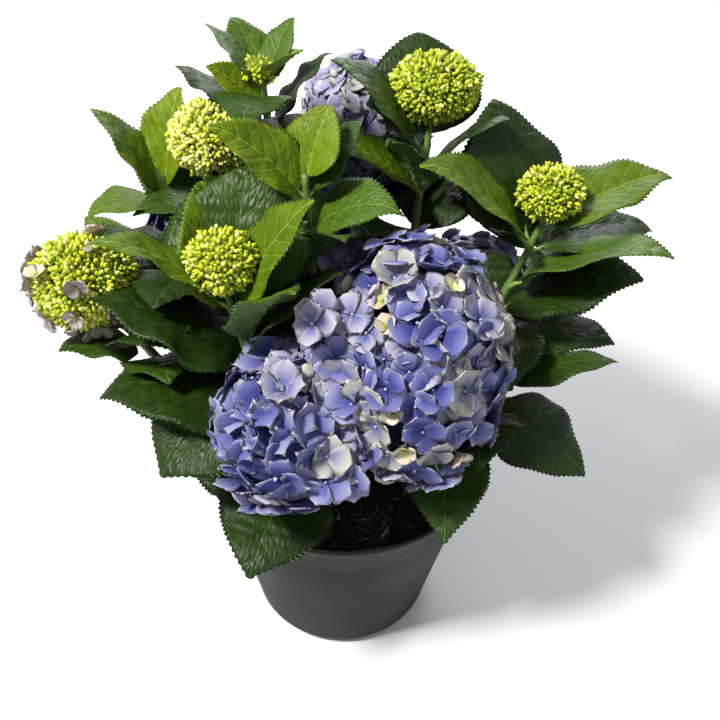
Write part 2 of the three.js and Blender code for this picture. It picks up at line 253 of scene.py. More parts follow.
# ---- Potting bark -----------------------------------------------------------------------------------
# The pot is filled with damp shredded bark and coir. The bed is one lumpy dark mass, and splinters,
# flakes and fibres of bark lie loose on it at all angles, a few of them fresh and pale.
BED_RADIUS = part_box("potting_bark")[1].x - 0.0006
BED_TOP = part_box("potting_bark")[1].z - 0.0008
BED_DEPTH = 0.014
CHIP_COUNT = 3600
FIBRE_COUNT = 420
FIBRE_RINGS = 6
FIBRE_SIDES = 3
FIBRE_FACES = (FIBRE_RINGS - 1) * FIBRE_SIDES + 2
BARK_BROWN, BARK_FRESH = 2, 3
CHIP_ODDS = (0.34, 0.36, 0.21, 0.07, 0.02)
BARK_TINTS = {
    "bark_black": (0.010, 0.007, 0.005),
    "bark_dark": (0.030, 0.016, 0.009),
    "bark_brown": (0.085, 0.042, 0.020),
    "bark_fresh": (0.270, 0.150, 0.070),
    "bark_straw": (0.460, 0.330, 0.180),
}
bark_chance = np.random.default_rng(11)


def bark_finish(name, tint):
    finish, tree, shader = new_finish(name)
    spot = add_node(tree, "TexCoord").outputs["Object"]
    fleck = noise(tree, spot, 420.0, 4.0, 0.65)
    damp = noise(tree, spot, 45.0, 2.0)
    colour = blended(tree, stretched(tree, fleck, 0.3, 0.75), tuple(0.45 * c for c in tint), tint)
    tree.links.new(colour, shader.inputs["Base Color"])
    tree.links.new(stretched(tree, damp, 0.3, 0.7, 0.55, 0.95), shader.inputs["Roughness"])
    tree.links.new(bumped(tree, fleck, 0.0006), shader.inputs["Normal"])
    shader.inputs["Specular IOR Level"].default_value = 0.25
    return finish


def bed_height(x, y):
    """The lumpy height of the bed, a little domed, from a few crossed waves."""
    lump = np.sin(210 * x + 3 * np.sin(90 * y)) * np.sin(190 * y + 2 * np.sin(70 * x + 1))
    small = np.sin(610 * x + 1.3) * np.sin(560 * y + 0.4) + 0.6 * np.sin(1130 * (x - y))
    dome = 0.004 * (1 - (x * x + y * y) / BED_RADIUS**2)
    return BED_TOP - 0.005 + dome + 0.0014 * lump + 0.0006 * small


bpy.ops.object.select_all(action="DESELECT")
bpy.ops.mesh.primitive_circle_add(
    vertices=96, radius=BED_RADIUS, location=(0, 0, BED_TOP), fill_type="NGON"
)
bed = bpy.context.object
bed.name = "bark_bed"
bpy.ops.object.transform_apply(location=True, rotation=True, scale=True)
bpy.ops.object.mode_set(mode="EDIT")
bpy.ops.mesh.select_all(action="SELECT")
BED_RINGS = 26
for ring in range(BED_RINGS):
    bpy.ops.mesh.inset(thickness=BED_RADIUS / (BED_RINGS + 1), depth=0.0)
bpy.ops.mesh.poke()
bpy.ops.object.mode_set(mode="OBJECT")
for vertex in bed.data.vertices:
    reach = math.hypot(vertex.co.x, vertex.co.y)
    sunk = 0.002 if reach > BED_RADIUS - 0.002 else 0.0
    vertex.co.z = bed_height(vertex.co.x, vertex.co.y) - sunk
bpy.ops.object.mode_set(mode="EDIT")
bpy.ops.mesh.select_all(action="DESELECT")
bpy.ops.mesh.select_non_manifold()
bpy.ops.mesh.extrude_edges_move(TRANSFORM_OT_translate={"value": (0, 0, -BED_DEPTH)})
narrowed = 0.955
bpy.ops.transform.resize(value=(narrowed, narrowed, 0.0), center_override=(0, 0, BED_TOP - BED_DEPTH))
bpy.ops.mesh.edge_face_add()
bpy.ops.mesh.select_all(action="SELECT")
bpy.ops.mesh.normals_make_consistent(inside=False)
bpy.ops.object.mode_set(mode="OBJECT")
bpy.ops.object.shade_smooth()
bed.data.materials.append(bark_finish("bark_mould", (0.020, 0.012, 0.008)))


def mesh_piece(name, points, faces, finishes, finish_index, corner_maps=None, smooth=True):
    """One joined piece from arrays: its points, its faces, and each face's finish."""
    mesh = bpy.data.meshes.new(name)
    mesh.from_pydata(np.asarray(points, float).tolist(), [], [list(map(int, f)) for f in faces])
    for finish in finishes:
        mesh.materials.append(finish)
    mesh.polygons.foreach_set("material_index", np.asarray(finish_index, np.int32))
    mesh.polygons.foreach_set("use_smooth", np.full(len(faces), smooth))
    for map_name, corners in (corner_maps or {}).items():
        layer = mesh.uv_layers.new(name=map_name)
        layer.data.foreach_set("uv", np.asarray(corners, np.float32).ravel())
    mesh.update()
    mesh.validate()
    piece = bpy.data.objects.new(name, mesh)
    scene.collection.objects.link(piece)
    return piece


chip_points, chip_faces, chip_tints = [], [], []
CHIP_BOX = np.array([[x, y, z] for x in (-1, 1) for y in (-1, 1) for z in (-1, 1)], float)
CHIP_QUADS = [(0, 1, 3, 2), (4, 6, 7, 5), (0, 4, 5, 1), (2, 3, 7, 6), (0, 2, 6, 4), (1, 5, 7, 3)]
for _ in range(CHIP_COUNT):
    reach = (BED_RADIUS - 0.004) * math.sqrt(bark_chance.random())
    turn = bark_chance.random() * math.tau
    middle = np.array([reach * math.cos(turn), reach * math.sin(turn), 0.0])
    middle[2] = bed_height(middle[0], middle[1]) + bark_chance.uniform(-0.0008, 0.0018)
    size = np.array([
        bark_chance.uniform(1.2, 6.5), bark_chance.uniform(0.5, 1.9), bark_chance.uniform(0.15, 0.6),
    ]) * MM
    corners = CHIP_BOX * size * bark_chance.uniform(0.6, 1.15, (8, 3))
    corners[:, 1] *= np.where(corners[:, 0] > 0, bark_chance.uniform(0.2, 1.0), 1.0)
    tilt = Matrix.Rotation(turn * 7.0, 3, "Z") @ Matrix.Rotation(bark_chance.normal(0, 0.32), 3, "Y")
    tilt = tilt @ Matrix.Rotation(bark_chance.normal(0, 0.5), 3, "X")
    start = len(chip_points)
    chip_points.extend(middle + corners @ np.array(tilt).T)
    chip_faces.extend([tuple(start + k for k in quad) for quad in CHIP_QUADS])
    tint = bark_chance.choice(len(BARK_TINTS), p=CHIP_ODDS)
    chip_tints.extend([tint] * len(CHIP_QUADS))
for _ in range(FIBRE_COUNT):
    reach = (BED_RADIUS - 0.010) * math.sqrt(bark_chance.random())
    turn, heading = bark_chance.random(2) * math.tau
    length = bark_chance.uniform(0.006, 0.020)
    curl = bark_chance.normal(0, 60.0)
    start = len(chip_points)
    thick = bark_chance.uniform(0.00015, 0.00038)
    for step in range(FIBRE_RINGS):
        along = (step / (FIBRE_RINGS - 1) - 0.5) * length
        angle = heading + curl * along
        x = reach * math.cos(turn) + along * math.cos(angle)
        y = reach * math.sin(turn) + along * math.sin(angle)
        z = float(bed_height(x, y)) + 0.0012 + 0.0012 * math.sin(math.pi * step / (FIBRE_RINGS - 1))
        aside = np.array([-math.sin(angle), math.cos(angle), 0.0])
        for side in range(FIBRE_SIDES):
            round_turn = math.tau * side / FIBRE_SIDES
            off = aside * math.cos(round_turn) + np.array([0, 0, math.sin(round_turn)])
            chip_points.append(np.array([x, y, z]) + off * thick)
    for step in range(FIBRE_RINGS - 1):
        ring = start + FIBRE_SIDES * step
        for side in range(FIBRE_SIDES):
            a, b = ring + side, ring + (side + 1) % FIBRE_SIDES
            chip_faces.append((a, b, b + FIBRE_SIDES, a + FIBRE_SIDES))
    last = start + FIBRE_SIDES * (FIBRE_RINGS - 1)
    chip_faces.extend([(start + 2, start + 1, start), (last, last + 1, last + 2)])
    fibre_tint = BARK_FRESH if bark_chance.random() < 0.45 else BARK_BROWN
    chip_tints.extend([fibre_tint] * FIBRE_FACES)
bark_finishes = [bark_finish(name, tint) for name, tint in BARK_TINTS.items()]
chips = mesh_piece("bark_chips", chip_points, chip_faces, bark_finishes, chip_tints, smooth=False)
for piece in (bed, chips):
    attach(piece, "root")
    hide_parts("potting_bark")

# ---- Canes ------------------------------------------------------------------------------------------
# Young hydrangea canes rise from a low woody crown and lean out from the clump. They are brown and
# ribbed at the foot, green and freckled above, and swell a little at every joint with a leaf pair.
SOIL_LEVEL = 158.0
CANE_SIDES = 12
CANE_FOOT = 5.2
CANE_TOP = 2.3
OUTWARD_AT_MIDDLE = 0.62
UPWARD_AT_MIDDLE = 0.45

# Each shoot: where its cane leaves the crown and where it ends, in millimetres.
SHOOTS = {
    "front_right": ((18, -14), (48, -46, 258)),
    "front_left": ((-30, -28), (-42, -62, 222)),
    "middle": ((-8, 10), (-17, 50, 290)),
    "back": ((4, 34), (9, 128, 350)),
    "top_right": ((30, 28), (60, 98, 408)),
    "right": ((46, 8), (143, 45, 352)),
    "upper_left": ((-32, 24), (-93, 50, 384)),
    "left_fan": ((-46, 14), (-136, 56, 366)),
    "top": ((-18, 20), (-60, 62, 445)),
    "front_middle": ((-34, -10), (-77, -48, 345)),
    "left": ((-50, 2), (-172, 2, 295)),
    "centre": ((-6, 4), (-29, 5, 400)),
    "low_right": ((46, -14), (112, -24, 255)),
    "back_left": ((-30, 44), (-110, 125, 262)),
    "back_right": ((40, 44), (100, 112, 222)),
    "rear": ((-4, 56), (-35, 168, 290)),
    "right_rear": ((52, 28), (165, 105, 300)),
    "left_rear": ((-52, 30), (-180, 90, 270)),
}


def cane_point(shoot, share):
    """A point on a shoot's centreline, in millimetres: the same curve as the CAD cane's."""
    foot, tip = SHOOTS[shoot]
    start = np.array([foot[0], foot[1], SOIL_LEVEL - 6.0])
    end = np.array(tip, float)
    lean = np.array([OUTWARD_AT_MIDDLE, OUTWARD_AT_MIDDLE, UPWARD_AT_MIDDLE])
    bend = start + lean * (end - start)
    return (1 - share) ** 2 * start + 2 * share * (1 - share) * bend + share**2 * end


def tube(centres, radii, sides, swell=None):
    """Points and faces of a round limb through some centres, closed at both ends."""
    centres = np.asarray(centres, float)
    ways = np.gradient(centres, axis=0)
    ways /= np.linalg.norm(ways, axis=1, keepdims=True)
    points, faces = [], []
    aside = np.cross(ways[0], (0.31, 1.0, 0.17))
    for ring, (centre, way, radius) in enumerate(zip(centres, ways, radii)):
        aside = aside - way * np.dot(aside, way)
        aside /= np.linalg.norm(aside)
        front = np.cross(way, aside)
        for side in range(sides):
            turn = math.tau * side / sides
            reach = radius * (1.0 if swell is None else swell(ring, side))
            points.append(centre + reach * (math.cos(turn) * aside + math.sin(turn) * front))
    for ring in range(len(centres) - 1):
        for side in range(sides):
            a, b = ring * sides + side, ring * sides + (side + 1) % sides
            faces.append((a, b, b + sides, a + sides))
    faces.append(tuple(reversed(range(sides))))
    faces.append(tuple(range(len(points) - sides, len(points))))
    return points, faces


def cane_finish():
    finish, tree, shader = new_finish("young_bark")
    spot = add_node(tree, "TexCoord").outputs["Object"]
    height = add_node(tree, "SeparateXYZ", {"Vector": spot}).outputs["Z"]
    drawn = add_node(tree, "Mapping", {"Vector": spot, "Scale": (1.0, 1.0, 0.10)}).outputs["Vector"]
    ribs = noise(tree, drawn, 700.0, 3.0, 0.6)
    freckle = add_node(tree, "TexVoronoi", {"Vector": spot, "Scale": 330.0, "Randomness": 1.0})
    dots = stretched(tree, freckle.outputs["Distance"], 0.28, 0.16)
    age = stretched(tree, height, 0.165, 0.290)
    bark = blended(tree, stretched(tree, ribs, 0.3, 0.7), (0.075, 0.048, 0.026), (0.235, 0.165, 0.085))
    green = blended(tree, stretched(tree, ribs, 0.3, 0.7), (0.060, 0.125, 0.022), (0.130, 0.215, 0.045))
    skin = blended(tree, age, bark, green)
    tree.links.new(blended(tree, dots, skin, (0.045, 0.030, 0.020)), shader.inputs["Base Color"])
    tree.links.new(stretched(tree, age, 0.0, 1.0, 0.85, 0.42), shader.inputs["Roughness"])
    tree.links.new(bumped(tree, ribs, 0.0006, 0.8), shader.inputs["Normal"])
    return finish


cane_points, cane_faces = [], []
cane_chance = np.random.default_rng(5)
for shoot in SHOOTS:
    shares = np.linspace(0.0, 1.0, 46)
    centres = [cane_point(shoot, share) * MM for share in shares]
    joints = 1.0 + 0.20 * np.exp(-((np.mod(shares * 6.0, 1.0) - 0.5) / 0.09) ** 2)
    flare = 1.0 + 0.45 * np.exp(-shares / 0.035)
    radii = (CANE_FOOT + (CANE_TOP - CANE_FOOT) * shares) * MM * joints * flare
    rib = cane_chance.uniform(0.93, 1.07, CANE_SIDES)
    points, faces = tube(centres, radii, CANE_SIDES, lambda ring, side: rib[side])
    cane_faces.extend([tuple(len(cane_points) + k for k in face) for face in faces])
    cane_points.extend(points)
bark = cane_finish()
canes = mesh_piece("canes", cane_points, cane_faces, [bark], [0] * len(cane_faces))
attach(canes, "root")
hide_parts(*(f"cane_{shoot}" for shoot in SHOOTS))

# The woody crown is the low knuckle of old wood at soil level that every cane grows out of.
crown_low, crown_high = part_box("woody_crown")
crown_middle = (crown_low + crown_high) / 2
crown_half = (crown_high - crown_low) / 2
bpy.ops.object.select_all(action="DESELECT")
bpy.ops.mesh.primitive_uv_sphere_add(segments=64, ring_count=32, radius=1.0)
crown = bpy.context.object
crown.name = "crown_wood"
for vertex in crown.data.vertices:
    way = vertex.co.copy()
    knot = 0.10 * math.sin(5 * way.x + 2) * math.sin(6 * way.y) + 0.05 * math.sin(17 * way.x + 13 * way.y)
    furrow = 0.035 * math.sin(26 * math.atan2(way.y, way.x) + 4 * way.z)
    swell = 0.90 + knot + furrow * (1.0 - abs(way.z))
    vertex.co = (
        crown_middle.x + crown_half.x * swell * way.x,
        crown_middle.y + crown_half.y * swell * way.y,
        crown_low.z - 0.002 + 2.0 * crown_half.z * 0.92 * swell * max(way.z, -0.3),
    )
bpy.ops.object.shade_smooth()
crown.data.materials.append(bark)
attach(crown, "root")
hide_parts("woody_crown")

# ---- Leaves -----------------------------------------------------------------------------------------
# Opposite pairs of broad, pointed, saw-edged leaves. Each blade is quilted between sunken side veins,
# folded a little along its midrib and arched by its own weight. Young leaves are lime, old ones dark.
PETIOLE_SHARE = 0.12
BLADE_BASE_POWER = 0.64
OLD_TIP_POWER = 1.06
YOUNG_TIP_POWER = 1.25
SIDE_VEINS = 7.0
VEIN_SLANT = 0.80
VEIN_SWEEP = 3.0
BLADE_COLUMNS = (-1.0, -0.88, -0.62, -0.36, -0.13, 0.0, 0.13, 0.36, 0.62, 0.88, 1.0)
BLADE_THICKNESS = 0.45 * MM
CAMBER = 0.14
QUILT_HEIGHT, QUILT_LOST_WHEN_YOUNG = 0.0125, 0.005
TOOTH_REACH, TOOTH_GAINED_WHEN_YOUNG = 0.0165, 0.005
STALK_RINGS = 7
STALK_SIDES = 7
BLADE_CELL = (0.92, 0.46)
LOW_CELL_CORNER = (0.0, 0.50)

LIME, BRIGHT, MIDDLING, DARK, DEEP = range(5)
# Tints, youngest first: (low green, high green, vein, roughness).
UPPER_TINTS = (
    ("leaf_lime", (0.075, 0.130, 0.001), (0.145, 0.215, 0.002), (0.330, 0.420, 0.050), 0.46),
    ("leaf_bright", (0.050, 0.098, 0.001), (0.095, 0.160, 0.002), (0.240, 0.340, 0.045), 0.46),
    ("leaf_middling", (0.030, 0.074, 0.002), (0.066, 0.130, 0.004), (0.180, 0.290, 0.050), 0.42),
    ("leaf_dark", (0.014, 0.038, 0.002), (0.034, 0.076, 0.004), (0.085, 0.165, 0.030), 0.42),
    ("leaf_deep", (0.008, 0.022, 0.002), (0.019, 0.045, 0.003), (0.048, 0.105, 0.020), 0.42),
)
UNDER_TINTS = (
    ("underside_young", (0.200, 0.330, 0.060), (0.300, 0.430, 0.100), (0.400, 0.500, 0.180)),
    ("underside_old", (0.085, 0.150, 0.045), (0.140, 0.220, 0.075), (0.220, 0.300, 0.120)),
)
STALK_TINT = ("leaf_stalk", (0.130, 0.230, 0.040), (0.240, 0.350, 0.090))

# Single leaves of each shoot: place along the shoot, azimuth, rise, length, width, droop, roll, tint.
# Angles are in degrees and lengths in millimetres.
LEAVES = {
    "front_left": [(0.32, -109, -4, 96, 84, 50, 0, DEEP), (0.35, 165, 0, 100, 84, 40, 0, DEEP)],
    "top_right": [
        (0.92, 93, 58, 92, 84, 25, 0, DEEP), (0.90, -168, 46, 106, 56, 35, -25, DARK),
        (0.80, -127, 54, 70, 44, 30, 0, DARK), (0.84, -22, 44, 84, 66, 40, 0, DEEP),
        (0.80, -150, 34, 88, 54, 40, -25, BRIGHT), (0.62, -168, 22, 84, 60, 40, 0, DARK),
    ],
    "right": [
        (0.60, -20, 6, 98, 64, 30, 0, DEEP), (0.65, -20, 30, 116, 80, 40, 0, DEEP),
        (0.75, -38, 34, 134, 70, 30, 0, MIDDLING), (0.88, 5, 14, 98, 74, 40, 0, DARK),
        (0.95, 10, 24, 110, 60, 35, 10, BRIGHT), (0.90, 122, 56, 116, 104, 25, 0, DEEP),
        (0.90, -160, 40, 122, 66, 35, -20, BRIGHT),
    ],
    "upper_left": [
        (0.88, 30, 40, 80, 52, 30, 0, MIDDLING), (0.88, -150, 10, 70, 50, 50, 0, DARK),
        (0.80, 168, 34, 92, 58, 30, -35, DARK),
    ],
    "left_fan": [
        (0.80, -75, 34, 78, 56, 35, 0, DEEP),
        (0.97, 47, 74, 84, 56, 20, 0, LIME), (0.94, 173, 60, 86, 44, 25, 0, BRIGHT),
        (0.92, -140, 16, 66, 56, 45, 0, BRIGHT), (0.80, -178, 8, 80, 38, 30, 0, DEEP),
    ],
    "top": [
        (0.97, 170, 48, 56, 38, 25, 0, MIDDLING), (0.97, 120, 45, 60, 34, 20, 0, MIDDLING),
        (0.97, 50, 57, 54, 30, 20, 0, MIDDLING), (0.99, -20, 38, 38, 28, 20, 0, LIME),
        (0.93, -165, 40, 50, 30, 25, -50, LIME), (0.88, 168, 32, 78, 46, 30, 0, DEEP),
        (0.88, 12, 52, 72, 44, 30, 0, DEEP), (0.86, -20, 10, 52, 38, 40, 0, DARK),
        (0.92, -58, -12, 46, 40, 40, 0, DARK),
        (0.80, -30, 30, 74, 50, 35, 0, DEEP), (0.95, -98, 4, 62, 50, 50, 0, DARK),
        (0.72, -130, 24, 78, 56, 40, -20, DEEP),
    ],
    "front_middle": [
        (0.88, 86, 62, 104, 96, 25, 0, DARK), (0.86, 124, 60, 100, 66, 20, 0, BRIGHT),
        (0.90, -16, 58, 108, 54, 20, 38, BRIGHT), (0.90, -160, 40, 106, 36, 45, -12, BRIGHT),
        (0.62, -178, 32, 124, 84, 40, 0, DEEP), (0.75, -55, 50, 112, 46, 30, 0, MIDDLING),
        (0.70, -20, 52, 106, 66, 30, 0, DEEP), (0.45, -166, 18, 122, 96, 40, 0, DEEP),
        (0.58, -132, -18, 94, 110, 40, 0, DEEP),
    ],
    "left": [(0.80, -144, 18, 62, 58, 30, 0, DARK), (0.70, -70, 26, 78, 56, 40, 0, DARK)],
    "centre": [
        (0.93, -164, 44, 84, 42, 30, -42, LIME), (0.97, 50, 66, 56, 46, 20, 0, LIME),
        (0.93, 37, 48, 66, 40, 30, 0, DARK), (0.75, -66, 42, 72, 48, 40, 0, MIDDLING),
        (0.84, -26, 28, 74, 50, 60, 25, MIDDLING), (0.75, 120, 50, 76, 50, 30, 0, DARK),
    ],
    "low_right": [
        (0.42, -95, -4, 96, 66, 50, 0, DARK), (0.80, -36, -14, 92, 84, 42, 0, DEEP),
        (0.60, -5, -8, 84, 56, 40, 0, LIME), (0.97, -4, 20, 90, 44, 30, 0, DARK),
        (0.75, -40, -12, 70, 60, 40, 0, DARK),
    ],
}
# Opposite pairs of like leaves: place along the shoot, azimuth of the first, rise, length, tint.
PAIRS = {
    "front_right": [(0.55, 20, 10, 95, DEEP), (0.85, -80, 5, 70, DARK)],
    "front_left": [(0.80, -30, 10, 70, DEEP)],
    "middle": [(0.75, 160, 30, 80, DEEP), (0.50, 70, 20, 90, DEEP)],
    "back": [(0.82, 30, 25, 100, DEEP), (0.60, 110, 12, 115, DEEP)],
    "top_right": [(0.66, 55, 25, 100, DEEP)],
    "right": [(0.60, 95, 10, 100, DEEP)],
    "upper_left": [(0.75, 100, 30, 95, DEEP), (0.50, 20, 15, 100, DEEP)],
    "left_fan": [(0.70, 90, 20, 100, DEEP)],
    "top": [(0.70, 60, 30, 80, DEEP)],
    "left": [(0.80, 115, 30, 95, DEEP)],
    "centre": [(0.58, 20, 25, 85, DEEP)],
    "low_right": [(0.70, 80, 15, 95, DEEP)],
    "back_left": [(0.85, 160, 10, 110, DARK), (0.80, 70, 6, 105, DEEP), (0.52, 120, 4, 100, DEEP)],
    "back_right": [(0.85, 0, 8, 110, DARK), (0.80, 90, 4, 105, DEEP), (0.52, 45, 4, 100, DEEP)],
    "rear": [(0.90, 150, 30, 100, MIDDLING), (0.72, 70, 10, 110, DEEP)],
    "right_rear": [(0.98, 20, 40, 70, BRIGHT), (0.92, 110, 28, 100, DARK), (0.75, 20, 12, 110, DEEP)],
    "left_rear": [(0.98, 160, 40, 70, BRIGHT), (0.92, 70, 25, 95, DARK), (0.75, 160, 12, 105, DEEP)],
}
PAIR_WIDTH_RATIO = 0.68
PAIR_DROOP = 45
INNER_LOWEST = 0.22
INNER_STEP = 0.14
INNER_WIDTH_RATIO = 0.66
INNER_DROOP = 35


def vein_pattern():
    """A node group that reads a leaf's own map: how near a vein, how high the quilting, how mottled."""
    group = bpy.data.node_groups.new("leaf_veins", "ShaderNodeTree")
    for name in ("Vein", "Quilt", "Mottle"):
        group.interface.new_socket(name, in_out="OUTPUT", socket_type="NodeSocketFloat")
    result = group.nodes.new("NodeGroupOutput")

    def maths(operation, *values):
        return add_node(group, "Math", dict(enumerate(values)), operation=operation).outputs["Value"]

    place = add_node(group, "UVMap", uv_map="leaf_place").outputs["UV"]
    split = add_node(group, "SeparateXYZ", {"Vector": place}).outputs
    along, off = split["X"], maths("ABSOLUTE", split["Y"])
    slant = maths("MULTIPLY", off, maths("MULTIPLY_ADD", off, VEIN_SWEEP * VEIN_SLANT, VEIN_SLANT))
    phase = maths("MULTIPLY", maths("SUBTRACT", along, slant), SIDE_VEINS)
    from_vein = maths("PINGPONG", phase, 0.5)
    side_vein = stretched(group, from_vein, 0.034, 0.008)
    midrib = stretched(group, off, 0.008, 0.002)
    cell_place = add_node(group, "CombineXYZ", {
        "X": maths("MULTIPLY", phase, 1.3), "Y": maths("MULTIPLY", split["Y"], 26.0),
    }).outputs["Vector"]
    cells = add_node(
        group, "TexVoronoi", {"Vector": cell_place, "Scale": 1.0, "Randomness": 0.85},
        feature="DISTANCE_TO_EDGE", voronoi_dimensions="2D",
    ).outputs["Distance"]
    ladder = stretched(group, cells, 0.04, 0.0, 0.0, 0.12)
    vein = maths("MAXIMUM", maths("MAXIMUM", side_vein, midrib), ladder)
    puff = maths("MULTIPLY", stretched(group, cells, 0.0, 0.30), stretched(group, from_vein, 0.02, 0.18))
    group.links.new(vein, result.inputs["Vein"])
    group.links.new(puff, result.inputs["Quilt"])
    spread = add_node(group, "Mapping", {"Vector": place, "Scale": (7.0, 7.0, 1.0)}).outputs["Vector"]
    group.links.new(noise(group, spread, 1.0, 4.0, 0.6), result.inputs["Mottle"])
    return group


leaf_veins = vein_pattern()


def lit_through(tree, shader, colour, share):
    """Lets a share of the light pass through a thin leaf or sepal in its own colour."""
    glow = add_node(tree, "BsdfTranslucent", {"Color": colour})
    both = add_node(tree, "MixShader", {0: share, 1: shader.outputs["BSDF"], 2: glow.outputs["BSDF"]})
    tree.links.new(both.outputs["Shader"], tree.nodes["Material Output"].inputs["Surface"])


def leaf_finish(name, low, high, vein, roughness, translucency=0.16):
    finish, tree, shader = new_finish(name)
    pattern = tree.nodes.new("ShaderNodeGroup")
    pattern.node_tree = leaf_veins
    share = stretched(tree, pattern.outputs["Mottle"], 0.30, 0.72)
    blade = blended(tree, share, low, high)
    blade = blended(tree, stretched(tree, pattern.outputs["Vein"], 0.0, 1.0, 0.0, 0.60), blade, vein)
    tree.links.new(blade, shader.inputs["Base Color"])
    dull = stretched(tree, share, 0.0, 1.0, roughness - 0.05, roughness + 0.12)
    tree.links.new(dull, shader.inputs["Roughness"])
    tree.links.new(bumped(tree, pattern.outputs["Quilt"], 0.0009, 0.36), shader.inputs["Normal"])
    shader.inputs["Specular IOR Level"].default_value = 0.24
    lit_through(tree, shader, blade, translucency)
    return finish


def stalk_finish(name, low, high):
    finish, tree, shader = new_finish(name)
    spot = add_node(tree, "TexCoord").outputs["Object"]
    colour = blended(tree, stretched(tree, noise(tree, spot, 260.0, 3.0), 0.3, 0.7), low, high)
    tree.links.new(colour, shader.inputs["Base Color"])
    shader.inputs["Roughness"].default_value = 0.45
    return finish


def shell_faces(rows, columns):
    """Faces of a closed thin shell on a grid, top and low, and the inside that the low side repeats."""
    index = np.arange(rows * columns).reshape(rows, columns)
    top = np.stack([index[:-1, :-1], index[1:, :-1], index[1:, 1:], index[:-1, 1:]], -1).reshape(-1, 4)
    inner = (slice(1, rows - 1), slice(1, columns - 1))
    low_index = index.copy()
    low_index[inner] = rows * columns + np.arange((rows - 2) * (columns - 2)).reshape(rows - 2, -1)
    return top, low_index.ravel()[top][:, ::-1], inner


upper_finishes = [leaf_finish(*tint) for tint in UPPER_TINTS]
under_finishes = [leaf_finish(*tint, 0.62, 0.10) for tint in UNDER_TINTS]
leaf_finishes = [*upper_finishes, *under_finishes, stalk_finish(*STALK_TINT)]
STALK_INDEX = len(leaf_finishes) - 1


def bump_between(distance):
    """0 on a vein, rising fast to 1 midway between two."""
    return 1.0 - (1.0 - np.clip(distance, 0, 1)) ** 2


